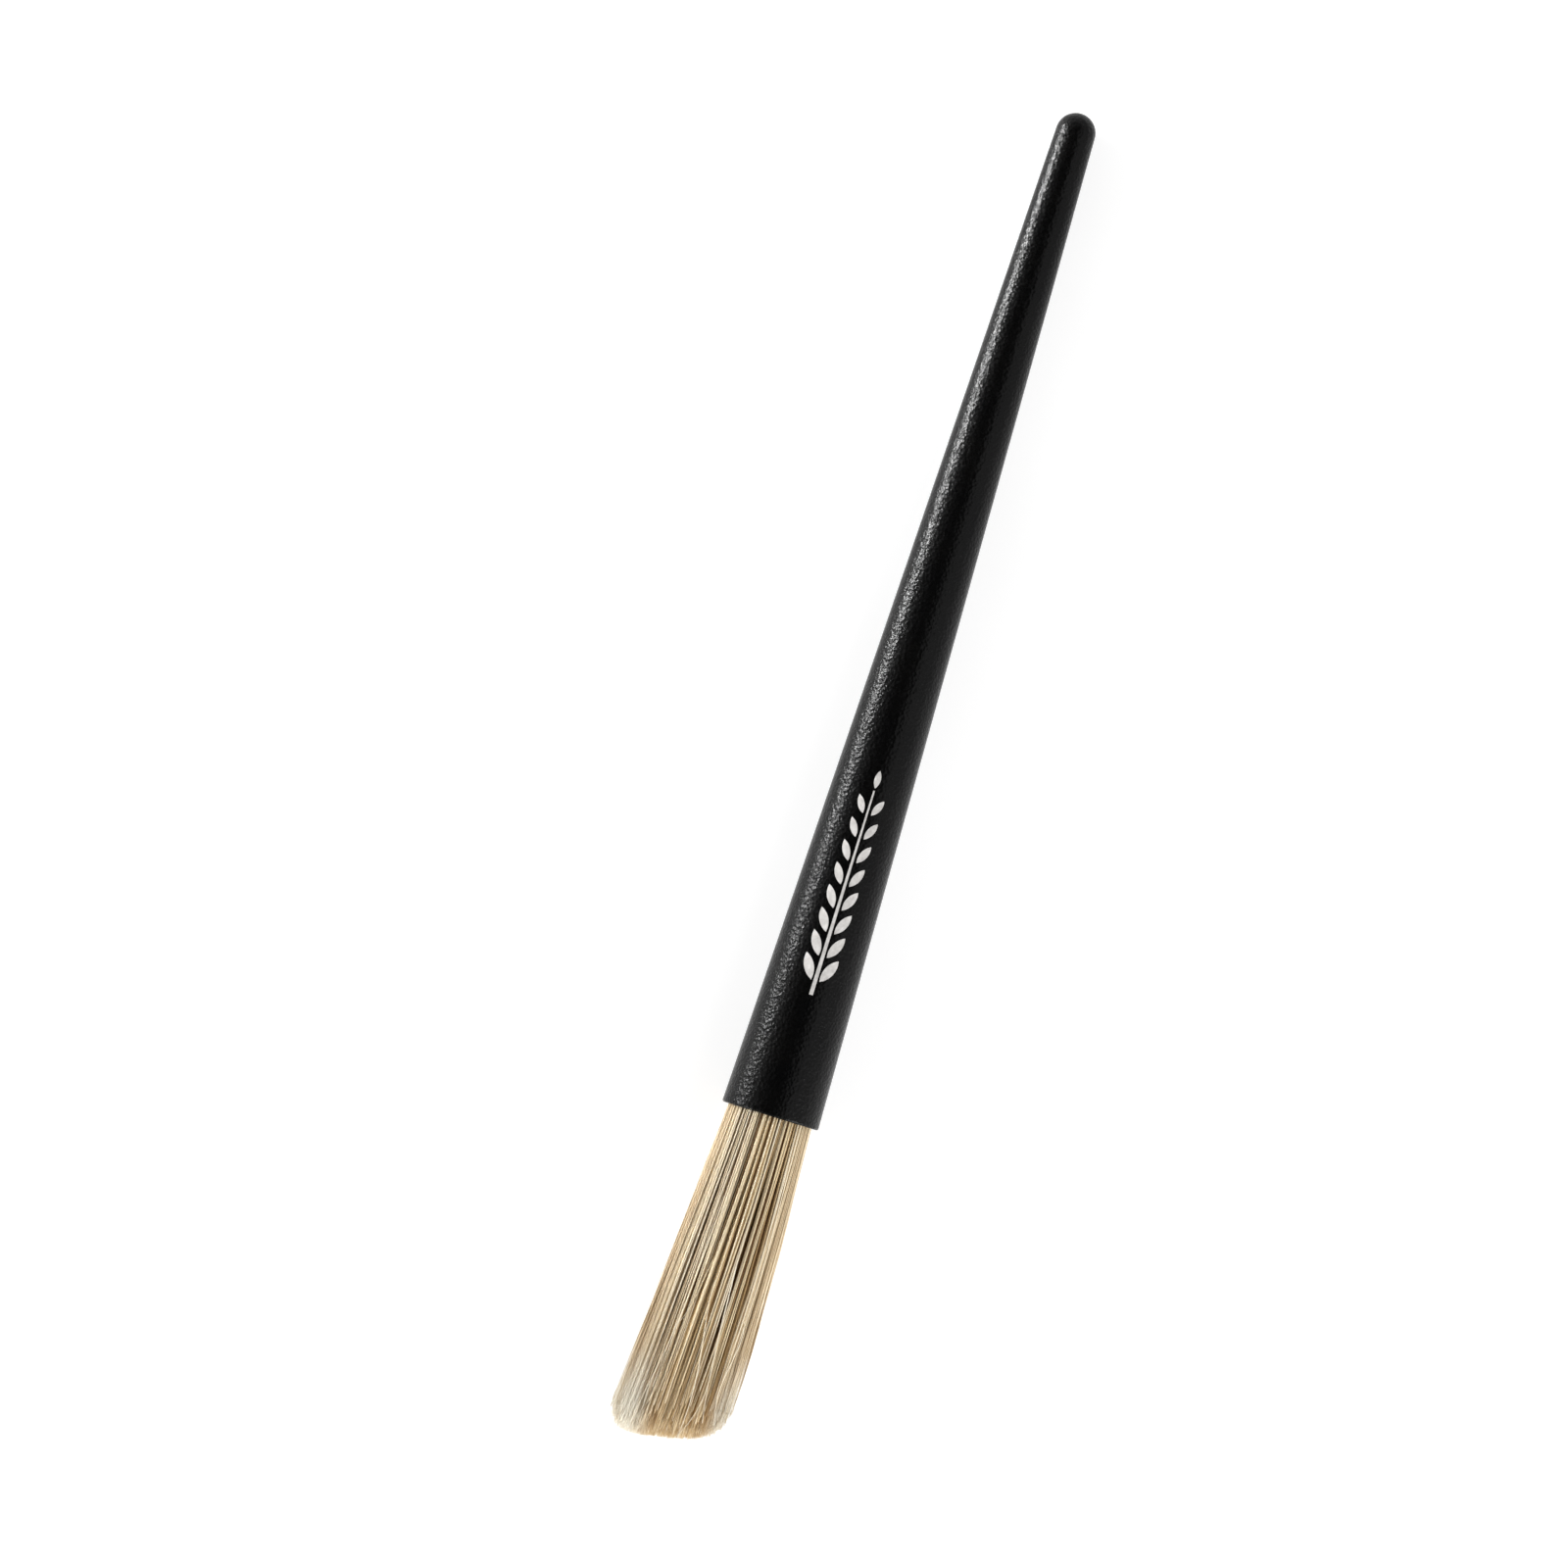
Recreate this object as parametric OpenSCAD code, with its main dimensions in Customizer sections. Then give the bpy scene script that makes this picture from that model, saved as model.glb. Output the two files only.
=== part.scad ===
// Round bristle brush with a tapered wooden handle and no ferrule.
// The brush lies on its side on z = 0, with the handle's tip towards +X and the tuft towards -X.
// Millimetres. The "brush frame" used below has its origin at the centre of the handle's rim
// and +X along the handle; lay_down() then lays that frame on the surface.

/* [Handle] */
// Length of the handle, from the rim to the end of the rounded tip
handle_length = 157; // [130:1:190]
// Diameter of the handle at the rim
rim_d = 15; // [14.5:0.1:17]
// Diameter of the rounded tip
tip_d = 6; // [5:0.5:8]
// Rounding of the rim's outer edge
rim_round = 0.35; // [0.2:0.05:0.45]

/* [Socket] */
// Diameter of the hole drilled for the tuft
socket_d = 13; // [13:0.05:13.4]
// Depth of the hole at its full diameter
socket_depth = 12; // [12:0.5:15]
// Point angle of the drill
drill_angle = 118; // [110:2:140]

/* [Tuft] */
// Length of bare bristle at the middle of the tuft
tuft_length = 50.5; // [40:0.5:60]
// Diameter of the tuft at the rim
tuft_root_d = 12.75; // [12.4:0.05:12.75]
// Diameter of the tuft at its trimmed end
tuft_end_d = 17.7; // [15:0.1:18]
// How far the trimmed end leans to +Y
tuft_lean = 0.9; // [0:0.1:1]
// How far the trimmed end sags towards the surface
tuft_sag = 0.3; // [0:0.1:0.7]
// Slant of the trim: extra length for each millimetre towards +Y
trim_slant = 0.21; // [0:0.01:0.3]
// How much shorter the trim is at the edge of the tuft
trim_shoulder = 4; // [0:0.5:5]

/* [Knot] */
// Length of the bristle roots inside the socket
root_length = 11; // [10.5:0.25:11.25]
// Length of the resin plug that holds the roots
plug_length = 4.3; // [3:0.1:4.5]
// Thickness of the glue between the plug and the socket's wall
glue_film = 0.15; // [0.1:0.01:0.2]
// Diameter of the binding thread
thread_d = 0.25; // [0.15:0.01:0.25]
// Turns of thread round the tuft
thread_turns = 3; // [2:1:3]
// Depth of the thread's first turn below the rim
thread_depth = 5.1; // [5:0.1:5.4]

/* [Ornament] */
// Distance from the rim to the foot of the printed sprig
mark_start = 19; // [10:1:40]
// Pairs of leaves on the sprig
leaf_pairs = 8; // [4:1:10]
// Spacing of the leaf pairs along the stem
leaf_pitch = 3.7; // [3:0.1:5]
// Length of the lowest leaves
leaf_length = 4.2; // [3:0.1:5]
// Width of the lowest leaves
leaf_width = 1.5; // [0.8:0.1:1.8]
// Angle between a leaf and the stem
leaf_angle = 26; // [20:1:50]
// Width of the stem at its foot
stem_width = 0.6; // [0.4:0.1:1]
// Thickness of the ink film
ink_thickness = 0.06; // [0.04:0.01:0.1]
// How far the sprig stands to the -Y side of the handle's top line
mark_offset = 0.4; // [0:0.1:1]

/* [Hidden] */
round_fn = 64;
lock_fn = 32;
// Rings of bristle locks round the core lock.
rings = 3;
rim_r = rim_d / 2;
tip_r = tip_d / 2;
socket_r = socket_d / 2;
drill_point = socket_r / tan(drill_angle / 2);

// The handle's cone is the line tangent to the rim's rounding and to the tip's ball.
round_centre_r = rim_r - rim_round;
tip_centre_x = handle_length - tip_r;
centres_apart = norm([round_centre_r, tip_centre_x - rim_round]);
centres_slope = atan2(tip_centre_x - rim_round, round_centre_r);
taper = acos((tip_r - rim_round) / centres_apart) - centres_slope;
cone_distance = tip_centre_x * sin(taper) + tip_r;
rim_tangent = [round_centre_r + rim_round * cos(taper), rim_round * (1 + sin(taper))];
tip_tangent = [tip_r * cos(taper), tip_centre_x + tip_r * sin(taper)];

// A lock's radius as a share of the ring pitch: a little under half, so that locks don't cut each other.
lock_share = 0.49;
lock_dome = 1.6;
trim_power = 6;
// The tuft bends where the thread binds it, so it starts to lean and to sag from there.
bend_depth = thread_depth + 0.4;
plug_cover = 0.3;
plug_r = socket_r - glue_film;

thread_gap = 0.02;
thread_pitch = thread_d * 1.1;
thread_steps = 36;
thread_sides = 6;

leaf_taper = 0.35;
stem_gap = 0.35;
stem_lead = 2.2;
stem_tip_share = 0.4;
mark_margin = 2;

function handle_r(x) = (cone_distance - x * sin(taper)) / cos(taper);

// The functions below take d, the distance out of the rim, which is negative inside the socket.
function tuft_r(d) = (tuft_root_d + (tuft_end_d - tuft_root_d) * d / tuft_length) / 2;
function ring_pitch(d) = tuft_r(d) / (rings + lock_share);
function bend_share(d) = (d + bend_depth) / (tuft_length + bend_depth);
function tuft_axis(d) = [-d, tuft_lean * bend_share(d), -tuft_sag * bend_share(d)];

// A lock sits on a ring at an angle measured from +Y towards +Z.
function lock_point(ring, angle, d) =
    tuft_axis(d) + ring * ring_pitch(d) * [0, cos(angle), sin(angle)];
function lock_length(ring, angle) =
    tuft_length
    + trim_slant * ring * ring_pitch(tuft_length) * cos(angle)
    - trim_shoulder * pow(ring / (rings + lock_share), trim_power);
function lock_angle(ring, i) = 360 * (i - 1) / (6 * ring);

tuft_reach = lock_length(2, 0);
frame_x = (tuft_reach - handle_length) / 2;

RING_NAMES = ["core", "inner", "middle", "outer"];
function lock_name(ring, i) =
    str("bristles_", RING_NAMES[ring], "_", ring > 1 && i < 10 ? "0" : "", i);

// Lays the brush frame on the surface: the lowest line of the handle's cone comes to z = 0.
module lay_down() {
    translate([frame_x, -tuft_lean, cone_distance])
        rotate([0, taper, 0])
            children();
}

// Turns a shape about the handle's axis: the profile's x is a radius and its y lies along +X.
module turned(fn) {
    rotate([0, 90, 0])
        rotate_extrude($fn = fn)
            children();
}

module handle_profile() {
    difference() {
        union() {
            polygon([
                [0, 0],
                [round_centre_r, 0],
                rim_tangent,
                tip_tangent,
                [0, tip_tangent.y]
            ]);
            translate([round_centre_r, rim_round])
                circle(r = rim_round, $fn = round_fn);
            intersection() {
                translate([0, tip_centre_x])
                    circle(r = tip_r, $fn = round_fn);
                translate([0, tip_tangent.y])
                    square([tip_d, tip_d]);
            }
        }
        polygon([
            [0, -1],
            [socket_r, -1],
            [socket_r, socket_depth],
            [0, socket_depth + drill_point]
        ]);
    }
}

// Turned hardwood handle, lacquered black, with the drilled socket in its thick end.
module handle() {
    color("#1c1c1e")
        lay_down()
            turned(round_fn)
                handle_profile();
}

// Glue that fills the drill point and the film round the plug.
module socket_adhesive() {
    plug_back = root_length + plug_cover;
    plug_front = plug_back - plug_length;
    color("#d9c27a")
        lay_down()
            turned(round_fn)
                polygon([
                    [0, plug_back],
                    [plug_r, plug_back],
                    [plug_r, plug_front],
                    [socket_r, plug_front],
                    [socket_r, socket_depth],
                    [0, socket_depth + drill_point]
                ]);
}

// Resin plug cast round the bristle roots.
module knot_resin() {
    plug_front = root_length + plug_cover - plug_length;
    color("#8a6a35")
        lay_down()
            difference() {
                translate([plug_front, 0, 0])
                    rotate([0, 90, 0])
                        cylinder(h = plug_length, r = plug_r, $fn = round_fn);
                lock(0, 0);
                for (ring = [1:rings])
                    for (i = [1:6 * ring])
                        lock(ring, lock_angle(ring, i));
            }
}

// Centre line of the thread, after a number of turns.
function thread_point(turn) =
    let (d = -thread_depth - turn * thread_pitch)
    let (r = tuft_r(d) + thread_gap + thread_d / 2)
    tuft_axis(d) + r * [0, cos(360 * turn), sin(360 * turn)];

// One corner of the thread's section there.
function thread_corner(turn, side) =
    let (around = 360 * side / thread_sides)
    let (outward = [0, cos(360 * turn), sin(360 * turn)])
    thread_point(turn) + thread_d / 2 * (cos(around) * outward + sin(around) * [1, 0, 0]);

// Waxed thread wound round the roots before the plug is cast.
module binding_thread() {
    last = thread_turns * thread_steps;
    points = [
        for (step = [0:last])
            for (side = [0:thread_sides - 1])
                thread_corner(step / thread_steps, side)
    ];
    walls = [
        for (step = [0:last - 1])
            for (side = [0:thread_sides - 1])
                let (next = (side + 1) % thread_sides)
                let (a = step * thread_sides)
                let (b = a + thread_sides)
                [a + side, a + next, b + next, b + side]
    ];
    first_cap = [for (side = [thread_sides - 1:-1:0]) side];
    last_cap = [for (side = [0:thread_sides - 1]) last * thread_sides + side];
    color("#efe8d8")
        lay_down()
            polyhedron(points = points, faces = concat(walls, [first_cap, last_cap]));
}

// A pointed leaf along +X, between two arcs.
module leaf(length, width) {
    arc_r = (length * length / 4 + width * width / 4) / width;
    intersection() {
        translate([length / 2, arc_r - width / 2])
            circle(r = arc_r, $fn = round_fn);
        translate([length / 2, width / 2 - arc_r])
            circle(r = arc_r, $fn = round_fn);
    }
}

module sprig_outline() {
    stem_length = stem_lead + leaf_pairs * leaf_pitch;
    polygon([
        [0, -stem_width / 2],
        [0, stem_width / 2],
        [stem_length, stem_width * stem_tip_share / 2],
        [stem_length, -stem_width * stem_tip_share / 2]
    ]);
    for (i = [0:leaf_pairs - 1])
        for (side = [-1, 1]) {
            size = 1 - leaf_taper * i / leaf_pairs;
            translate([stem_lead + i * leaf_pitch, side * (stem_width / 2 + stem_gap)])
                rotate(side * leaf_angle)
                    leaf(leaf_length * size, leaf_width * size);
        }
    translate([stem_length + stem_gap, 0])
        leaf(leaf_length * (1 - leaf_taper), leaf_width * (1 - leaf_taper));
}

// A piece of the handle's cone under the sprig, with its surface raised by a thickness.
module cone_piece(raised) {
    length = stem_lead + (leaf_pairs + 1) * leaf_pitch + 2 * mark_margin;
    start = mark_start - mark_margin;
    translate([start, 0, 0])
        rotate([0, 90, 0])
            cylinder(
                h = length,
                r1 = handle_r(start) + raised,
                r2 = handle_r(start + length) + raised,
                $fn = round_fn
            );
}

// Ink film of the sprig printed on top of the handle, in stencil style.
module printed_sprig() {
    color("#d8d5d0")
        lay_down()
            intersection() {
                difference() {
                    cone_piece(ink_thickness);
                    cone_piece(0);
                }
                translate([mark_start, -mark_offset, 0])
                    linear_extrude(height = rim_d)
                        sprig_outline();
            }
}

// One straight lock of bristles, from its root in the plug to its trimmed end, in the brush frame.
module lock(ring, angle) {
    length = lock_length(ring, angle);
    start = lock_point(ring, angle, -root_length);
    run = lock_point(ring, angle, length) - start;
    height = norm(run);
    root_r = lock_share * ring_pitch(-root_length);
    end_r = lock_share * ring_pitch(length);
    translate(start)
        rotate([0, acos(run.z / height), atan2(run.y, run.x)])
            rotate_extrude($fn = lock_fn)
                polygon([
                    [0, 0],
                    [root_r, 0],
                    [end_r, height - lock_dome],
                    [end_r * 0.82, height - lock_dome * 0.4],
                    [end_r * 0.45, height],
                    [0, height]
                ]);
}

// A lock of natural bristle on the surface, a shade lighter on the odd ones.
module bristles(ring, i) {
    color(i % 2 == 0 ? "#c8b286" : "#d6c39c")
        lay_down()
            lock(ring, lock_angle(ring, i));
}

module bristles_core() {
    color("#c8b286")
        lay_down()
            lock(0, 0);
}

handle();
socket_adhesive();
knot_resin();
binding_thread();
printed_sprig();
bristles_core();
for (ring = [1:rings])
    for (i = [1:6 * ring])
        bristles(ring, i);
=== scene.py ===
"""Looks of a round bristle brush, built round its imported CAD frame. Metres, +Z up."""

import math

import bpy
import numpy as np
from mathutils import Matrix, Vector, noise


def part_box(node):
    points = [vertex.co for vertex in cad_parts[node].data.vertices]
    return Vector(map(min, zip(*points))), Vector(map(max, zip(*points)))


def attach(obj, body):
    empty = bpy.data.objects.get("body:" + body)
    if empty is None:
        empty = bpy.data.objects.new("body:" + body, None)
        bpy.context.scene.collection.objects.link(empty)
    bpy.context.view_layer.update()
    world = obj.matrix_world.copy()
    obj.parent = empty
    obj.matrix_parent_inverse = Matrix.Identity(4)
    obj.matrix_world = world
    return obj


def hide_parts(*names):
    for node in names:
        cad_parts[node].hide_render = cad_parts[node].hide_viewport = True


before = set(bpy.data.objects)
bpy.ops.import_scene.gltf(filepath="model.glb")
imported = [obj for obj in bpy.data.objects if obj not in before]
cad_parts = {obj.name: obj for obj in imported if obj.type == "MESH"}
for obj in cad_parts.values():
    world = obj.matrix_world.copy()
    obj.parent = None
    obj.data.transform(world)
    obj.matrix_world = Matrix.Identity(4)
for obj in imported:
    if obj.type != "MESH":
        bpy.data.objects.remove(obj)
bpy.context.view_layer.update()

MM = 0.001
BODY = "root"
SEED = 11

# --- The brush frame -------------------------------------------------------------------------
# Shapes are worked out in the brush frame: its origin is the centre of the handle's rim, +x runs
# along the handle to its tip, +y is the row's +Y and +z is up. The brush lies on its cone, so the
# rim's centre is one rim radius above the surface and the tip's ball touches it.

TIP_R = 3.0 * MM
RIM_ROUND = 0.35 * MM
SOCKET_R = 6.5 * MM
SOCKET_DEPTH = 12 * MM
DRILL_POINT = SOCKET_R / math.tan(math.radians(59))

handle_low, handle_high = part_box("handle")
RIM_R = (handle_high.y - handle_low.y) / 2
AXIS_Y = (handle_high.y + handle_low.y) / 2
tip_ball_x = handle_high.x - TIP_R
TAPER = math.asin((RIM_R - TIP_R) / (tip_ball_x - handle_low.x))
rim_centre = Vector((handle_low.x + (RIM_R - RIM_ROUND) * math.sin(TAPER), AXIS_Y, RIM_R))
tip_ball = Vector((tip_ball_x, AXIS_Y, TIP_R))
ALONG = (tip_ball - rim_centre).normalized()
TIP_BALL_X = (tip_ball - rim_centre).length
ACROSS = Vector((0, 1, 0))
BASIS = np.array([ALONG, ACROSS, ALONG.cross(ACROSS)])
ORIGIN = np.array(rim_centre)


def laid(points):
    """Points of the brush frame, one a row, in the row frame."""
    return np.asarray(points, float) @ BASIS + ORIGIN


def in_brush_frame(points):
    """Points of the row frame, one a row, in the brush frame."""
    return (np.asarray(points, float) - ORIGIN) @ BASIS.T


def vertices_of(node):
    """The vertices of a CAD node, in the brush frame."""
    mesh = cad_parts[node].data
    co = np.empty(len(mesh.vertices) * 3)
    mesh.vertices.foreach_get("co", co)
    return in_brush_frame(co.reshape(-1, 3))


def new_piece(name, points, faces, material, slot):
    """A smooth mesh object of the points, given in the row frame, that rides on the brush's body."""
    mesh = bpy.data.meshes.new(name)
    mesh.from_pydata(np.asarray(points).tolist(), [], faces)
    mesh.polygons.foreach_set("use_smooth", [True] * len(mesh.polygons))
    mesh.materials.append(material)
    mesh.update()
    piece = bpy.data.objects.new(name, mesh)
    bpy.context.scene.collection.objects.link(piece)
    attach(piece, BODY)
    return piece


# --- Materials -------------------------------------------------------------------------------
# Lengths in the textures are cell sizes and depths in metres; colours are linear.

PEEL_CELL = 0.5 * MM
PEEL_DEPTH = 0.07 * MM
PORE_CELL = 0.22 * MM
PORE_DEPTH = 0.028 * MM


class Nodes:
    """A material's node tree, with short ways to add and join nodes."""

    def __init__(self, name):
        self.material = bpy.data.materials.new(name)
        self.material.use_nodes = True
        self.tree = self.material.node_tree
        self.shader = self.tree.nodes["Principled BSDF"]

    def add(self, kind, **settings):
        made = self.tree.nodes.new("ShaderNode" + kind)
        for key, value in settings.items():
            setattr(made, key, value)
        return made

    def put(self, value, socket):
        """Sets a socket to a number or a colour, or links it to another socket."""
        if isinstance(value, bpy.types.NodeSocket):
            self.tree.links.new(value, socket)
        else:
            socket.default_value = value

    def coords(self, scale=(1, 1, 1)):
        """The piece's own coordinates, in metres, stretched by a scale."""
        mapping = self.add("Mapping")
        self.put(self.add("TexCoord").outputs["Object"], mapping.inputs["Vector"])
        self.put(scale, mapping.inputs["Scale"])
        return mapping.outputs["Vector"]

    def noise(self, size, detail=2.0, roughness=0.5, stretch=(1, 1, 1)):
        """Cloudy noise of about 0.3 to 0.7 in patches of a size."""
        made = self.add("TexNoise")
        self.put(self.coords(stretch), made.inputs["Vector"])
        self.put(1 / size, made.inputs["Scale"])
        self.put(detail, made.inputs["Detail"])
        self.put(roughness, made.inputs["Roughness"])
        return made.outputs["Fac"]

    def cells(self, size, smoothness):
        """Distance to the middle of the nearest cell, in cells of a size."""
        made = self.add("TexVoronoi", feature="SMOOTH_F1")
        self.put(self.coords(), made.inputs["Vector"])
        self.put(1 / size, made.inputs["Scale"])
        self.put(smoothness, made.inputs["Smoothness"])
        return made.outputs["Distance"]

    def times(self, a, b):
        made = self.add("Math", operation="MULTIPLY")
        self.put(a, made.inputs[0])
        self.put(b, made.inputs[1])
        return made.outputs[0]

    def remap(self, value, low, high, to_low=0.0, to_high=1.0):
        """A value of low to high, spread over to_low to to_high."""
        made = self.add("MapRange")
        for number, socket in zip((value, low, high, to_low, to_high), made.inputs):
            self.put(number, socket)
        return made.outputs[0]

    def ramp(self, value, stops):
        """A colour from stops of (value, colour)."""
        made = self.add("ValToRGB")
        self.put(value, made.inputs["Fac"])
        elements = made.color_ramp.elements
        while len(elements) < len(stops):
            elements.new(0.5)
        for element, (place, colour) in zip(elements, stops):
            element.position = place
            element.color = (*colour, 1)
        return made.outputs["Color"]

    def mix(self, share, a, b, blend_type="MIX"):
        made = self.add("Mix", data_type="RGBA", blend_type=blend_type)
        self.put(share, made.inputs["Factor"])
        for value, socket in ((a, made.inputs[6]), (b, made.inputs[7])):
            self.put(value if isinstance(value, bpy.types.NodeSocket) else (*value, 1), socket)
        return made.outputs[2]

    def bump(self, height, depth, under=None):
        """A bump whose height of 0 to 1 stands for a depth in metres."""
        made = self.add("Bump")
        self.put(1.0, made.inputs["Strength"])
        self.put(depth, made.inputs["Distance"])
        self.put(height, made.inputs["Height"])
        if under is not None:
            self.put(under, made.inputs["Normal"])
        return made.outputs["Normal"]

    def set(self, **sockets):
        """Sets the shader's sockets: Base_Color=... stands for the socket Base Color."""
        for key, value in sockets.items():
            self.put(value, self.shader.inputs[key.replace("_", " ")])
        return self.material


def lacquer_grain(n):
    """The leathery orange-peel grain of the sprayed lacquer, as a normal."""
    peel = n.bump(n.cells(PEEL_CELL, 0.35), PEEL_DEPTH)
    return n.bump(n.noise(PORE_CELL, 3.0, 0.55), PORE_DEPTH, under=peel)


def black_lacquer():
    """Satin black lacquer."""
    n = Nodes("black_lacquer")
    blotch = n.noise(6 * MM, 3.0)
    fine = n.noise(0.5 * MM)
    colour = n.ramp(blotch, [(0.3, (0.0011, 0.0011, 0.0012)), (0.7, (0.0021, 0.0020, 0.0019))])
    return n.set(
        Base_Color=colour,
        Roughness=n.remap(fine, 0.3, 0.7, 0.22, 0.34),
        Specular_IOR_Level=0.12,
        Normal=lacquer_grain(n),
    )


def printed_ink():
    """Silvery ink with pinholes, which takes the grain of the lacquer under it."""
    n = Nodes("printed_ink")
    pinholes = n.remap(n.noise(0.16 * MM, 2.0, 0.7), 0.62, 0.74)
    cloud = n.ramp(n.noise(1.1 * MM, 3.0), [(0.3, (0.55, 0.53, 0.51)), (0.7, (0.72, 0.70, 0.68))])
    return n.set(
        Base_Color=n.mix(n.times(pinholes, 0.6), cloud, (0.16, 0.15, 0.15)),
        Roughness=n.remap(n.noise(0.4 * MM), 0.3, 0.7, 0.38, 0.55),
        Normal=lacquer_grain(n),
    )


def natural_bristle():
    """Bleached hog bristle. The strand attribute holds its tone, its paling (bleach at the tips, painted
    sheen on the tuft's sides) and how light it is (tone at random, painted shade).
    """
    n = Nodes("natural_bristle")
    strand = n.add("Attribute", attribute_name="strand")
    parts = n.add("SeparateColor")
    n.put(strand.outputs["Color"], parts.inputs["Color"])
    tone, bleach_and_sheen, light = (parts.outputs[k] for k in ("Red", "Green", "Blue"))
    own = n.ramp(tone, [
        (0.0, (0.26, 0.14, 0.05)),
        (0.12, (0.46, 0.30, 0.135)),
        (0.5, (0.635, 0.48, 0.27)),
        (0.85, (0.78, 0.655, 0.44)),
        (1.0, (0.93, 0.85, 0.70)),
    ])
    streaks = n.noise(0.25 * MM, 2.0, 0.6, stretch=(0.03, 1, 1))
    light = n.times(light, n.remap(streaks, 0.3, 0.7, 0.9, 1.06))
    # Darkens by the blue channel: clump tone at random, and painted shade on the inner and gap bristles.
    shade_and_tone_tint = n.ramp(light, [
        (0.0, (0.06, 0.022, 0.004)),
        (0.3, (0.30, 0.20, 0.11)),
        (0.6, (0.75, 0.64, 0.49)),
        (0.95, (1.0, 0.985, 0.95)),
    ])
    # Paler at the tips by bleaching, and over the tuft's sides by painted sheen.
    bleach_and_sheen_colour = n.mix(bleach_and_sheen, own, (0.84, 0.815, 0.73))
    return n.set(
        Base_Color=n.mix(1.0, bleach_and_sheen_colour, shade_and_tone_tint, "MULTIPLY"),
        Roughness=n.remap(streaks, 0.3, 0.7, 0.3, 0.46),
        Specular_IOR_Level=0.3,
    )


def cast_resin():
    """Amber resin of the plug."""
    n = Nodes("cast_resin")
    colour = n.ramp(n.noise(1.5 * MM, 3.0), [(0.3, (0.16, 0.08, 0.025)), (0.7, (0.34, 0.19, 0.07))])
    return n.set(Base_Color=colour, Roughness=0.22, Normal=n.bump(n.noise(0.8 * MM), 0.03 * MM))


def set_glue():
    """Set glue in the socket."""
    n = Nodes("set_glue")
    colour = n.ramp(n.noise(1.2 * MM, 3.0), [(0.3, (0.5, 0.36, 0.13)), (0.7, (0.7, 0.56, 0.27))])
    return n.set(Base_Color=colour, Roughness=0.45, Normal=n.bump(n.noise(0.5 * MM, 3.0), 0.05 * MM))


def waxed_thread():
    """Two-tone waxed thread."""
    n = Nodes("waxed_thread")
    ply = n.add("TexWave", wave_type="BANDS", bands_direction="DIAGONAL")
    n.put(n.coords(), ply.inputs["Vector"])
    n.put(1 / (0.35 * MM), ply.inputs["Scale"])
    colour = n.ramp(ply.outputs["Fac"], [(0.2, (0.55, 0.49, 0.38)), (0.8, (0.83, 0.78, 0.68))])
    return n.set(Base_Color=colour, Roughness=0.6, Normal=n.bump(ply.outputs["Fac"], 0.03 * MM))


def pale_floor():
    """A plain white surface, faintly lit from within so that it stays white."""
    n = Nodes("pale_floor")
    tone = n.ramp(n.noise(40 * MM, 2.0), [(0.3, (0.50, 0.50, 0.50)), (0.7, (0.53, 0.53, 0.53))])
    return n.set(Base_Color=tone, Roughness=0.8, Emission_Color=(1, 1, 1, 1), Emission_Strength=0.66)


# --- Handle ----------------------------------------------------------------------------------

HANDLE_SIDES = 168
HANDLE_STEP = 0.285 * MM
GRAIN_DEPTH = 0.012 * MM
GRAIN_CELL = 1.1 * MM
RIM_STEPS = 6
TIP_STEPS = 14
SOCKET_EDGE = 0.06 * MM
CHIP_TURN = math.radians(74)
CHIP_WIDTH = 0.55 * MM
CHIP_DEPTH = 0.22 * MM
CHIP_LENGTH = 0.35 * MM


def handle_profile():
    """(x, radius, share of grain) from the drill point out over the rim and along to the tip."""
    def cone_r(x):
        """Radius of the cone."""
        return (RIM_R - x * math.sin(TAPER)) / math.cos(TAPER)

    bore = [(SOCKET_DEPTH + DRILL_POINT, 0, 0), (SOCKET_DEPTH, SOCKET_R, 0)]
    bore += [(SOCKET_DEPTH * share, SOCKET_R, 0) for share in (0.75, 0.5, 0.25, 0.1)]
    bore += [(SOCKET_EDGE, SOCKET_R, 0), (0, SOCKET_R + SOCKET_EDGE, 0.3)]
    rim = [(0, (SOCKET_R + RIM_R - RIM_ROUND) / 2, 0.5)]
    for step in range(RIM_STEPS + 1):
        turn = math.pi / 2 * step / RIM_STEPS
        rim.append((RIM_ROUND * (1 - math.cos(turn)), RIM_R - RIM_ROUND * (1 - math.sin(turn)), 0.6))
    cone_end = TIP_BALL_X + TIP_R * math.sin(TAPER)
    rings = round((cone_end - RIM_ROUND) / HANDLE_STEP)
    cone = [RIM_ROUND + (cone_end - RIM_ROUND) * i / rings for i in range(1, rings + 1)]
    ball = []
    for step in range(1, TIP_STEPS + 1):
        turn = TAPER + (math.pi / 2 - TAPER) * step / TIP_STEPS
        ball.append((TIP_BALL_X + TIP_R * math.sin(turn), TIP_R * math.cos(turn), 1))
    return bore + rim + [(x, cone_r(x), 1) for x in cone] + ball


def grain_at(x, y, z):
    """0 on the lacquer's crests to 1 in its creases, in cells of about a millimetre."""
    place = Vector((x, y, z)) / GRAIN_CELL
    wander = noise.noise(place * 0.6 + Vector((7, 3, 1)))
    near = noise.voronoi(place + Vector((wander, wander, wander)) * 0.5)[0]
    return min(1.0, 0.75 * (near[1] - near[0]) + 0.35 * (wander + 0.5))


def chip_at(x, turn):
    """Depth of the small chip in the lacquer on the rim's edge, next to the top."""
    across = (turn - CHIP_TURN) * RIM_R / CHIP_WIDTH
    return CHIP_DEPTH * math.exp(-across * across) * math.exp(-max(x, 0) / CHIP_LENGTH)


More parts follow.
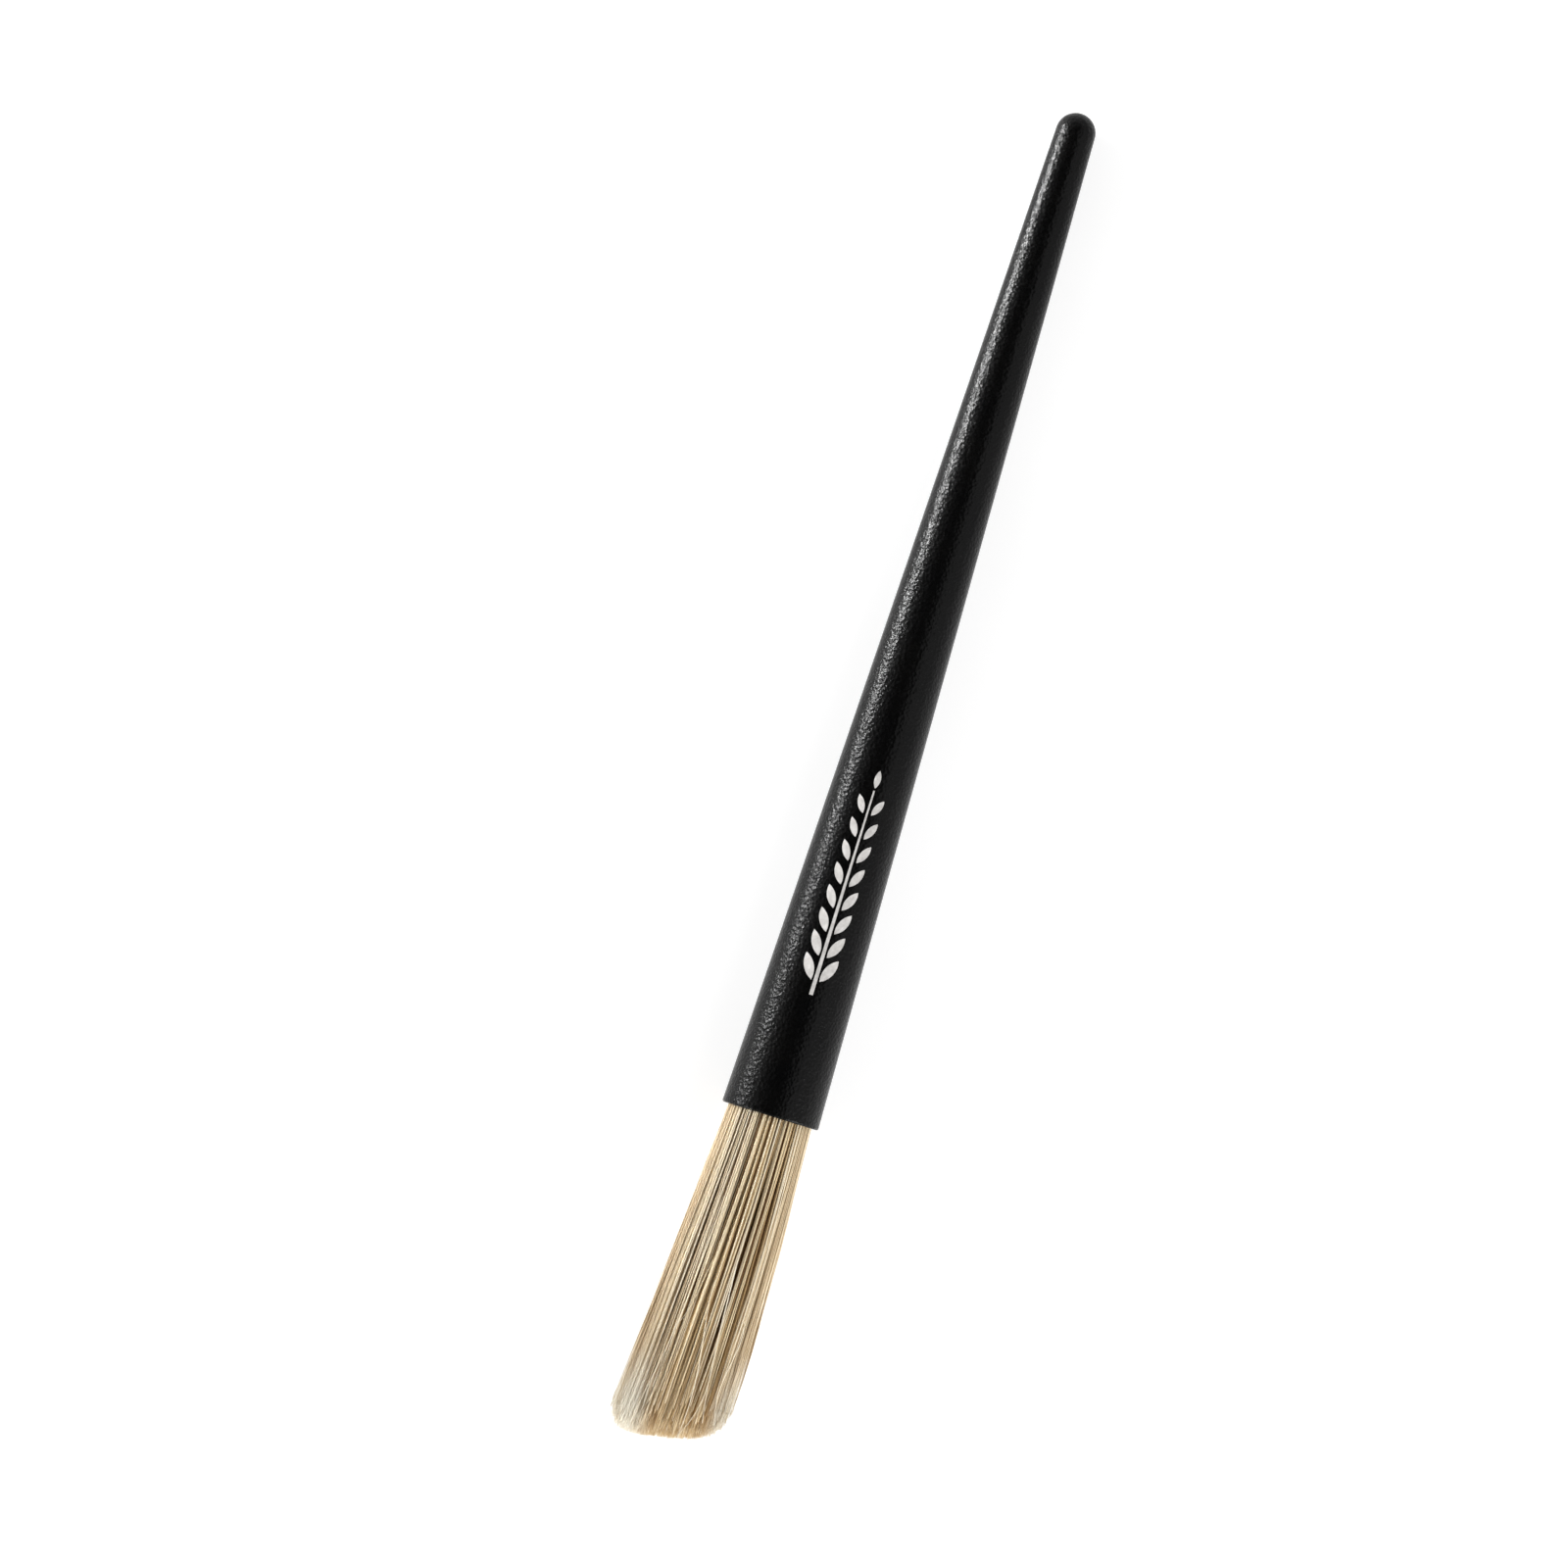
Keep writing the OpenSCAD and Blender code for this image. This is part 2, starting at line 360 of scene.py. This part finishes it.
def lathe_handle():
    """Points and faces of the handle: its profile turned, less the grain and the chip."""
    points, faces, rings = [], [], []
    for x, r, grained in handle_profile():
        if r < 1e-6:
            rings.append([len(points)])
            points.append((x, 0, 0))
            continue
        rings.append(range(len(points), len(points) + HANDLE_SIDES))
        for side in range(HANDLE_SIDES):
            turn = 2 * math.pi * side / HANDLE_SIDES
            unit = (math.cos(turn), math.sin(turn))
            depth = 0
            if grained:
                depth = GRAIN_DEPTH * grained * grain_at(x, r * unit[0], r * unit[1])
                depth += chip_at(x, turn) if x < 3 * CHIP_LENGTH else 0
            points.append((x, (r - depth) * unit[0], (r - depth) * unit[1]))
    for ring, after in zip(rings, rings[1:]):
        for side in range(HANDLE_SIDES):
            other = (side + 1) % HANDLE_SIDES
            corners = [ring[side % len(ring)], after[side % len(after)]]
            corners += [after[other % len(after)], ring[other % len(ring)]]
            faces.append(list(dict.fromkeys(corners)))
    return laid(points), faces


# --- Tuft ------------------------------------------------------------------------------------
# d is a distance out of the rim. A place across the tuft is a point of the unit disc, which the
# tuft's radius at d scales and its axis at d carries.

BRISTLES = 2300
BRISTLE_JITTER = 0.25
PROUD_SHARE = 0.27
# Share of the surface bristles in the middle band darkened to stand for the shaded gaps between clumps:
# painted shade.
GAP_SHADING_SHARE = 0.15
CLUMPS = 240
CLUMP_JITTER = 0.28
TUFT_LENGTH = 50.4 * MM
TUFT_R = 6.38 * MM
TUFT_FLARE = 0.0477
TUFT_SWELL = 0.16 * MM
ROOT_DEPTH = 10.8 * MM
TUFT_LEAN = 1.2 * MM
LEAN_BEND = 1.7
TUFT_SAG = 0.3 * MM
TRIM_SLANT = 0.21
TRIM_SHOULDER = 4.2 * MM
BRISTLE_R = 0.11 * MM
GOLDEN = math.pi * (3 - math.sqrt(5))
STRAND_STATIONS = (0, 0.1, 0.2, 0.32, 0.44, 0.56, 0.68, 0.78, 0.87, 0.94, 1)
STRAND_SIDES = 6
BRISTLE_SPREAD = (0.8, 1.15)
TIP_THINNING = 0.68
UNEVEN_TRIM = 0.4 * MM
SHORT_SHARE = 0.12
SHORT_BY = (0.5, 6)
FLAGS = 2
FLAG_SIDES = 3
FLAG_STATIONS = (0, 0.35, 0.7, 1)
FLAG_RADII = np.array([0.026, 0.024, 0.019, 0.01]) * MM
FLAG_ASIDE = 0.16 * MM
FLAG_REACH = (0.6, 0.9)
SOFT_LANDING = 0.35 * MM

# How strongly bristles draw to their clump: at the rim, more by mid-length, less at their tips.
DRAW_AT_RIM = 0.12
DRAW_MORE = 0.24
DRAW_LESS = 0.22
DRAW_SPREAD = (0.5, 1.5)

# Shares of the tuft's radius: how far a clump sways, a bristle curves, and a tip stands aside.
CLUMP_SWAY = 0.022
OWN_CURVE = 0.012
TIP_ASIDE = 0.02

rng = np.random.default_rng(SEED)


def tuft_r(d):
    """Radius of the tuft."""
    return TUFT_R + TUFT_FLARE * d + TUFT_SWELL * np.sin(np.pi * np.clip(d / TUFT_LENGTH, 0, 1))


def tuft_axis(d):
    """(y, z) of the tuft's middle line."""
    out = np.clip(d / TUFT_LENGTH, 0, None)
    return np.stack([TUFT_LEAN * out**LEAN_BEND, -TUFT_SAG * out], -1)


def sunflower(count, jitter):
    """Points spread evenly over the unit disc, moved a little at random."""
    i = np.arange(count) + 0.5
    r = np.sqrt(i / count)
    turn = i * GOLDEN
    spread = jitter / math.sqrt(count)
    points = np.stack([r * np.cos(turn), r * np.sin(turn)], -1)
    points += rng.normal(0, spread, points.shape)
    reach = np.linalg.norm(points, axis=1, keepdims=True)
    return points / np.maximum(1, reach)


def nearest(points, centres):
    """For each point, the number of the centre nearest to it."""
    apart = np.linalg.norm(points[:, None] - centres[None], axis=2)
    return apart.argmin(1)


def lock_centres(names):
    """Where each CAD lock stands in the unit disc, halfway along the tuft."""
    middle = TUFT_LENGTH / 2
    slice_of = 0.3 * MM
    centres = []
    for name in names:
        co = vertices_of(name)
        root = co[co[:, 0] > co[:, 0].max() - slice_of].mean(0)
        tip = co[co[:, 0] < co[:, 0].min() + slice_of].mean(0)
        share = (-middle - root[0]) / (tip[0] - root[0])
        place = root + share * (tip - root)
        centres.append((place[1:] - tuft_axis(middle)) / tuft_r(middle))
    return np.array(centres)


def trim_length(places):
    """Length of bare bristle at places in the unit disc: slanting, with a rounded shoulder."""
    reach = np.linalg.norm(places, axis=1)
    return TUFT_LENGTH + TRIM_SLANT * places[:, 0] * tuft_r(TUFT_LENGTH) - TRIM_SHOULDER * reach**6


def strand_tubes(paths, radii, sides):
    """Closed tubes along paths, an array of strand, station and xyz. Returns points and faces."""
    strands, stations, _ = paths.shape
    along = np.gradient(paths, axis=1)
    along /= np.linalg.norm(along, axis=2, keepdims=True)
    side_way = np.cross(along, (0, 0, 1))
    side_way /= np.linalg.norm(side_way, axis=2, keepdims=True)
    up_way = np.cross(side_way, along)
    turn = 2 * math.pi * np.arange(sides) / sides
    ring = np.cos(turn)[:, None] * side_way[:, :, None] + np.sin(turn)[:, None] * up_way[:, :, None]
    points = paths[:, :, None] + radii[:, :, None, None] * ring
    index = np.arange(strands * stations * sides).reshape(strands, stations, sides)
    after = np.roll(index, -1, axis=2)
    walls = np.stack([index[:, :-1], index[:, 1:], after[:, 1:], after[:, :-1]], -1).reshape(-1, 4)
    caps = np.concatenate([index[:, 0], index[:, -1, ::-1]])
    return points.reshape(-1, 3), walls.tolist() + caps.tolist()


def lay_out_strands(piece, strands):
    """A UV map with a column for each bristle: strands are (number, stations, sides), in order."""
    columns = sum(number for number, _, _ in strands)
    first, across, along = 0, [], []
    for number, stations, sides in strands:
        side_of = np.tile(np.arange(sides) / sides - 0.5, number * stations)
        column = np.repeat(first + np.arange(number), stations * sides)
        across.append((column + 0.5 + 0.6 * side_of) / columns)
        along.append(np.tile(np.repeat(np.linspace(0.01, 0.99, stations), sides), number))
        first += number
    places = np.stack([np.concatenate(across), np.concatenate(along)], -1)
    corners = np.empty(len(piece.data.loops), int)
    piece.data.loops.foreach_get("vertex_index", corners)
    layer = piece.data.uv_layers.new(name="OFBake")
    layer.data.foreach_set("uv", places[corners].astype(np.float32).ravel())


def smoothstep(t):
    """0 up to t = 0, 1 from t = 1, and smooth between."""
    t = np.clip(t, 0, 1)
    return t * t * (3 - 2 * t)


def bristle_lengths(places):
    """Bare length of each bristle: the trim, a little uneven, with some much shorter."""
    count = len(places)
    length = trim_length(places) - np.abs(rng.normal(0, UNEVEN_TRIM, count))
    short = rng.random(count) < SHORT_SHARE
    return length - short * rng.uniform(*SHORT_BY, count) * MM


def clump_draw(places, clumps, t, proud):
    """How far each station of each bristle is drawn to its clump: less at the sides, none if proud."""
    draw = DRAW_AT_RIM + DRAW_MORE * smoothstep(t / 0.4) - DRAW_LESS * smoothstep((t - 0.7) / 0.3)
    draw = draw * rng.uniform(*DRAW_SPREAD, CLUMPS)[clumps, None]
    loose = 1 - 0.9 * smoothstep((np.abs(places[:, :1]) - 0.45) / 0.3)
    loose = np.where(proud[:, None], 0.0, loose)
    return np.where(t < 0, 0.0, draw * loose)[:, :, None]


def bristle_paths(places, clumps, clump_places, proud):
    """Middle lines of the bristles in the brush frame, and each station's share of its length."""
    count = len(places)
    length = bristle_lengths(places)
    share = np.array([-ROOT_DEPTH / TUFT_LENGTH, *STRAND_STATIONS])
    t = np.broadcast_to(share, (count, len(share)))
    d = np.where(t < 0, -ROOT_DEPTH, t * length[:, None])
    # Bristles draw together into clumps, which wander a little as one.
    draw = clump_draw(places, clumps, t, proud)
    sway = rng.normal(0, CLUMP_SWAY, (CLUMPS, 2))[clumps]
    phase = rng.uniform(0, 2 * math.pi, CLUMPS)[clumps]
    swing = np.sin(phase[:, None] + 3.2 * t)[:, :, None] * sway[:, None]
    place = places[:, None] * (1 - draw) + clump_places[clumps][:, None] * draw
    place = place + swing * smoothstep(t * 2)[:, :, None]
    # Each bristle has a slight curve of its own and stands aside at its tip.
    curve = rng.normal(0, OWN_CURVE, (count, 2))
    wave = np.sin(rng.uniform(0, 6.28, count)[:, None] + rng.uniform(3, 7, count)[:, None] * t)
    aside = rng.normal(0, TIP_ASIDE, (count, 2))
    place = place + curve[:, None] * (wave * smoothstep(t * 3))[:, :, None]
    place = place + aside[:, None] * (np.clip(t, 0, 1) ** 3)[:, :, None]
    across = place * tuft_r(d)[:, :, None] + tuft_axis(d)
    return np.concatenate([-d[:, :, None], across], 2), t


def keep_on_surface(points, clearance):
    """Lifts points of the row frame so that the lowest bristles lie on the surface."""
    height = points[..., 2] - clearance
    landing = SOFT_LANDING * np.exp(np.clip(height / SOFT_LANDING - 1, -8, 0))
    lifted = np.where(height < SOFT_LANDING, landing, height)
    out = points.copy()
    out[..., 2] = lifted + clearance
    return out


def bristle_radii(t):
    """Radius of each bristle at each station: its own, thinner towards the tip."""
    own = rng.uniform(*BRISTLE_SPREAD, len(t))
    taper = 1 - TIP_THINNING * smoothstep((t - 0.55) / 0.45)
    return BRISTLE_R * own[:, None] * taper


def flag_paths(paths):
    """The fine hairs that split from each bristle's tip, on the surface, and their radii."""
    start = paths[:, -2] * 0.75 + paths[:, -1] * 0.25
    run = paths[:, -1] - paths[:, -2]
    flags = []
    for _ in range(FLAGS):
        aside = rng.normal(0, FLAG_ASIDE, start.shape)
        aside[:, 0] = 0
        reach = rng.uniform(*FLAG_REACH, (len(start), 1))
        flags.append(np.stack([start + run * reach * s + aside * s**1.5 for s in FLAG_STATIONS], 1))
    flags = keep_on_surface(np.concatenate(flags), FLAG_RADII[0])
    return flags, np.broadcast_to(FLAG_RADII, flags.shape[:2])


def paint_strands(piece, tone, bleach_and_sheen, light):
    """Stores each vertex's tone, its paling by bleach and painted sheen, and how light it is under
    painted shade.
    """
    colours = np.stack([tone, bleach_and_sheen, light, np.ones_like(tone)], -1)
    layer = piece.data.color_attributes.new("strand", "FLOAT_COLOR", "POINT")
    layer.data.foreach_set("color", colours.astype(np.float32).ravel())


def bleach_and_painted_sheen(places, t):
    """How far each station of each bristle is paled, most at the tips on the tuft's two sides: the tips
    by bleaching, and the sides by painted sheen, wider on the +y side that faces the key light.
    """
    y = places[:, :1]
    # Painted sheen over the tuft's two sides, wider on the +y side, which faces the key light.
    side = np.maximum(smoothstep((y - 0.1) / 0.6), smoothstep((-y - 0.5) / 0.4))
    tips = smoothstep((t - 0.98 + 0.26 * side) / 0.24)
    tips = tips * (0.55 + 0.45 * side) * rng.uniform(0.7, 1.15, (len(places), 1))
    # Sides paled along their whole length: painted sheen.
    return np.maximum(tips, 0.32 * side)


def lightness_and_painted_shade(places, clump_tones, t, gap_shading_bristle):
    """How light each station is: clumps differ at random, and painted shade darkens the inner bristles
    and, more, the dark gap bristles, all but at their tips.
    """
    inner_painted_shade = 1 - smoothstep((np.linalg.norm(places, axis=1) - 0.76) / 0.18)
    # Painted shade: inner bristles darkened as if in the tuft's shadow, and gap bristles darker still.
    dark = np.where(gap_shading_bristle, rng.uniform(0.72, 0.92, len(places)), 0.42 * inner_painted_shade)
    # The painted shade fades out towards the tips, where the tuft's end is open to the light.
    open_end = smoothstep((t - 0.5) / 0.42)
    return (0.8 + 0.2 * clump_tones[:, None]) * (1 - dark[:, None] * (1 - open_end))


def bristle_tones(places, clump_tones):
    """Each bristle's tone: near its clump's, with a few much paler or darker, and evener sides."""
    count = len(clump_tones)
    tone = clump_tones * 0.6 + 0.2 + rng.normal(0, 0.08, count)
    odd = rng.random(count)
    tone = np.where(odd < 0.07, rng.uniform(0.85, 1, count), tone)
    tone = np.where(odd > 0.95, rng.uniform(0, 0.15, count), tone)
    side = smoothstep((np.abs(places[:, 0]) - 0.5) / 0.3)
    return np.clip(0.52 + (tone - 0.52) * (1 - 0.65 * side), 0, 1)


def outlying(places):
    """Which of the bristles near the tuft's surface stand proud of it, and which are dark ones that stand
    for the shaded gaps between clumps: painted shade.
    """
    reach = np.linalg.norm(places, axis=1)
    pick = rng.random(len(places))
    proud = (reach > 0.93) & (np.abs(places[:, 0]) < 0.7) & (pick < PROUD_SHARE)
    # Dark bristles near the surface of the middle band, standing for shaded gaps between clumps: painted
    # shade.
    gap_shading_bristle = (reach > 0.86) & (np.abs(places[:, 0]) < 0.62) & (pick > 1 - GAP_SHADING_SHARE)
    moved = places / reach[:, None] * rng.uniform(1.0, 1.035, (len(places), 1))
    return np.where(proud[:, None], moved, places), proud, gap_shading_bristle


def at_vertices(values):
    """Values by bristle and station, for the vertices of the bristles and then of their flags."""
    tips = np.repeat(values[:, -1], len(FLAG_STATIONS) * FLAG_SIDES)
    return np.concatenate([np.repeat(values.ravel(), STRAND_SIDES), np.tile(tips, FLAGS)])


def build_lock(name, material, paths, radii, colours):
    """The bristles and flags that stand for one CAD lock."""
    flags, widths = flag_paths(paths)
    points, faces = strand_tubes(paths, radii, STRAND_SIDES)
    flag_points, flag_faces = strand_tubes(flags, widths, FLAG_SIDES)
    faces += [[i + len(points) for i in face] for face in flag_faces]
    points = np.concatenate([points, flag_points])
    piece = new_piece(name.replace("bristles", "tuft"), points, faces, material, "bristle")
    paint_strands(piece, *(at_vertices(values) for values in colours))
    bristle_rows = (len(paths), paths.shape[1], STRAND_SIDES)
    lay_out_strands(piece, [bristle_rows, (len(flags), len(FLAG_STATIONS), FLAG_SIDES)])
    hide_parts(name)


def build_tuft(material):
    """Every bristle of the tuft, as one piece for each CAD lock."""
    names = sorted(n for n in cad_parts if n.startswith("bristles_"))
    clump_places = sunflower(CLUMPS, CLUMP_JITTER)
    clump_lock = nearest(clump_places, lock_centres(names))
    clump_tone = np.clip(rng.normal(0.5, 0.3, CLUMPS), 0, 1)
    places, proud, gap_shading_bristle = outlying(sunflower(BRISTLES, BRISTLE_JITTER))
    clumps = nearest(places, clump_places)
    paths, t = bristle_paths(places, clumps, clump_places, proud)
    paths = keep_on_surface(laid(paths), BRISTLE_R)
    radii = bristle_radii(t)
    tone = bristle_tones(places, clump_tone[clumps])
    tone[proud] = rng.uniform(0.85, 1, proud.sum())
    tone = np.broadcast_to(tone[:, None], t.shape)
    # Bleaching at the tips, and painted sheen on the tuft's sides.
    bleach_and_sheen = bleach_and_painted_sheen(places, t)
    # Painted shade on the inner and gap bristles.
    light = lightness_and_painted_shade(places, clump_tone[clumps], t, gap_shading_bristle)
    for number, name in enumerate(names):
        mine = clump_lock[clumps] == number
        build_lock(name, material, paths[mine], radii[mine], (tone[mine], bleach_and_sheen[mine], light[mine]))


STRAYS = (
    # Each stray's stations, as (distance out of the rim, y) in mm, on top of the tuft.
    ((31, -2.6), (36, -2.7), (41.2, -2.9), (45.1, -2.6), (46.7, -2.0), (48.5, -1.2), (50.0, -0.4)),
    ((20, -1.6), (28.1, -2.1), (33, -2.3), (38.2, -2.8), (41, -3), (44, -3.4), (46.5, -3.9)),
    ((22, 1.6), (25, 2.1), (29.3, 2.7), (31, 3.1), (32.6, 3.6), (34, 4.3)),
    ((12, 2.9), (20, 3.4), (28, 3.7), (36, 4.3), (44, 5.6), (49.6, 6.4)),
    ((25, 0.6), (32, 0.1), (39, -0.9), (44, -1.2), (49.5, -1.0)),
    ((30, -5.2), (37, -5.3), (42, -4.9), (46, -5.6), (48.5, -6.5)),
)
STRAY_TONES = (0.75, 1.0, 0.7, 0.95, 0.9, 0.98)
STRAY_LIGHT = 1.1
STRAY_STATIONS = 26
STRAY_R = 0.085 * MM
STRAY_LIFT = 0.15 * MM
STRAY_ROOT_SINK = 0.3 * MM


def stray_path(stations):
    """A smooth path through a stray's stations that comes up out of the tuft and lies on it."""
    d, y = np.array(stations).T * MM
    run = np.linspace(d[0], d[-1], STRAY_STATIONS)
    bends = np.polynomial.Polynomial.fit(d, y, min(4, len(d) - 1))(run)
    across = (bends - tuft_axis(run)[:, 0]) / tuft_r(run)
    rise = run - run[0]
    lift = STRAY_LIFT * smoothstep(rise / (3 * MM))
    lift = lift - STRAY_ROOT_SINK * (1 - smoothstep(rise / (2 * MM)))
    z = tuft_axis(run)[:, 1] + tuft_r(run) * np.sqrt(1 - across**2) * 0.985 + lift
    return np.stack([-run, bends, z], -1)


def build_strays(material):
    """Long bristles that cross the top of the tuft out of line with the rest."""
    paths = laid(np.array([stray_path(stations) for stations in STRAYS]))
    count = len(STRAYS)
    share = np.broadcast_to(np.linspace(0, 1, STRAY_STATIONS), (count, STRAY_STATIONS))
    radii = STRAY_R * (1 - 0.6 * smoothstep((share - 0.5) / 0.5))
    points, faces = strand_tubes(paths, radii, STRAND_SIDES)
    piece = new_piece("stray_bristles", points, faces, material, "bristle")
    tone = np.repeat(STRAY_TONES, STRAY_STATIONS * STRAND_SIDES)
    bleach_and_sheen = np.repeat((0.15 + 0.5 * share**2).ravel(), STRAND_SIDES)
    paint_strands(piece, tone, bleach_and_sheen, np.full_like(tone, STRAY_LIGHT))
    lay_out_strands(piece, [(count, STRAY_STATIONS, STRAND_SIDES)])


# --- Stage -----------------------------------------------------------------------------------

LENS = 250.0
SENSOR = 36.0
VIEW_WIDTH = 234.0 * MM
VIEW_TURN = math.radians(17.28)
VIEW_FROM_RIM = (47.93 * MM, 12.72 * MM)
WALL = 0.92
CEILING = 0.02
CEILING_EDGE = (0.45, 0.9)
FLOOR_HALF = 3.0
LIGHT_DISTANCE = 0.9
LIGHTS = (
    dict(name="key", side=90, elevation=6.5, size=(0.5, 0.1), power=2.9, beside=0.352, spread=40),
    dict(name="top", side=-90, elevation=52, size=(1.2, 0.4), power=1.4, beside=0),
    dict(name="left", side=122, elevation=24, size=(0.3, 0.16), power=4.3, beside=-0.1),
    dict(name="right", side=-126, elevation=20, size=(0.7, 0.4), power=7.2, beside=-0.1),
)


def add_camera():
    """Looks straight down, turned so that the handle points up and to the right."""
    data = bpy.data.cameras.new("camera")
    data.lens = LENS
    data.sensor_width = SENSOR
    data.clip_start = 0.01
    data.clip_end = 20
    camera = bpy.data.objects.new("camera", data)
    bpy.context.scene.collection.objects.link(camera)
    height = VIEW_WIDTH * LENS / SENSOR + RIM_R
    camera.location = (rim_centre.x + VIEW_FROM_RIM[0], AXIS_Y + VIEW_FROM_RIM[1], height)
    camera.rotation_euler = (0, 0, VIEW_TURN - math.pi / 2)
    bpy.context.scene.camera = camera


def add_floor(material):
    """The surface that the brush lies on."""
    corners = [(x * FLOOR_HALF, y * FLOOR_HALF, 0) for x, y in ((-1, -1), (1, -1), (1, 1), (-1, 1))]
    mesh = bpy.data.meshes.new("floor")
    mesh.from_pydata(corners, [], [(0, 1, 2, 3)])
    mesh.materials.append(material)
    floor = bpy.data.objects.new("floor", mesh)
    bpy.context.scene.collection.objects.link(floor)


def add_light(name, side, elevation, size, power, beside, spread=180):
    """A soft box at an angle round +Z from +X, in degrees, that faces the brush at x = beside."""
    data = bpy.data.lights.new(name, "AREA")
    data.shape = "RECTANGLE"
    data.size, data.size_y = size
    data.energy = power
    data.spread = math.radians(spread)
    light = bpy.data.objects.new(name, data)
    bpy.context.scene.collection.objects.link(light)
    a, e = math.radians(side), math.radians(elevation)
    aim = Vector((beside, 0, RIM_R))
    back = Vector((math.cos(a) * math.cos(e), math.sin(a) * math.cos(e), math.sin(e)))
    light.location = aim + back * LIGHT_DISTANCE
    light.rotation_euler = back.to_track_quat("Z", "Y").to_euler()


def add_world():
    """Pale walls all round, with a dark ceiling over the brush."""
    world = bpy.data.worlds.new("world")
    world.use_nodes = True
    tree = world.node_tree
    tree.nodes["Background"].inputs["Color"].default_value = (1, 1, 1, 1)
    direction = tree.nodes.new("ShaderNodeTexCoord")
    split = tree.nodes.new("ShaderNodeSeparateXYZ")
    fade = tree.nodes.new("ShaderNodeMapRange")
    fade.interpolation_type = "SMOOTHSTEP"
    for number, socket in zip((*CEILING_EDGE, WALL, CEILING), list(fade.inputs)[1:]):
        socket.default_value = number
    tree.links.new(direction.outputs["Generated"], split.inputs[0])
    tree.links.new(split.outputs["Z"], fade.inputs[0])
    tree.links.new(fade.outputs[0], tree.nodes["Background"].inputs["Strength"])
    bpy.context.scene.world = world


def main():
    """Builds the looks on the frame, and the stage."""
    lacquered = new_piece("lacquered_handle", *lathe_handle(), black_lacquer(), "lacquered_wood")
    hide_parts("handle")
    bristle = natural_bristle()
    build_tuft(bristle)
    build_strays(bristle)
    finishes = {
        "printed_sprig": printed_ink(),
        "knot_resin": cast_resin(),
        "socket_adhesive": set_glue(),
        "binding_thread": waxed_thread(),
    }
    for node, material in finishes.items():
        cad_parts[node].material_slots[0].material = material
    add_camera()
    add_floor(pale_floor())
    for light in LIGHTS:
        add_light(**light)
    add_world()
    bpy.context.scene.view_settings.view_transform = "Standard"


main()
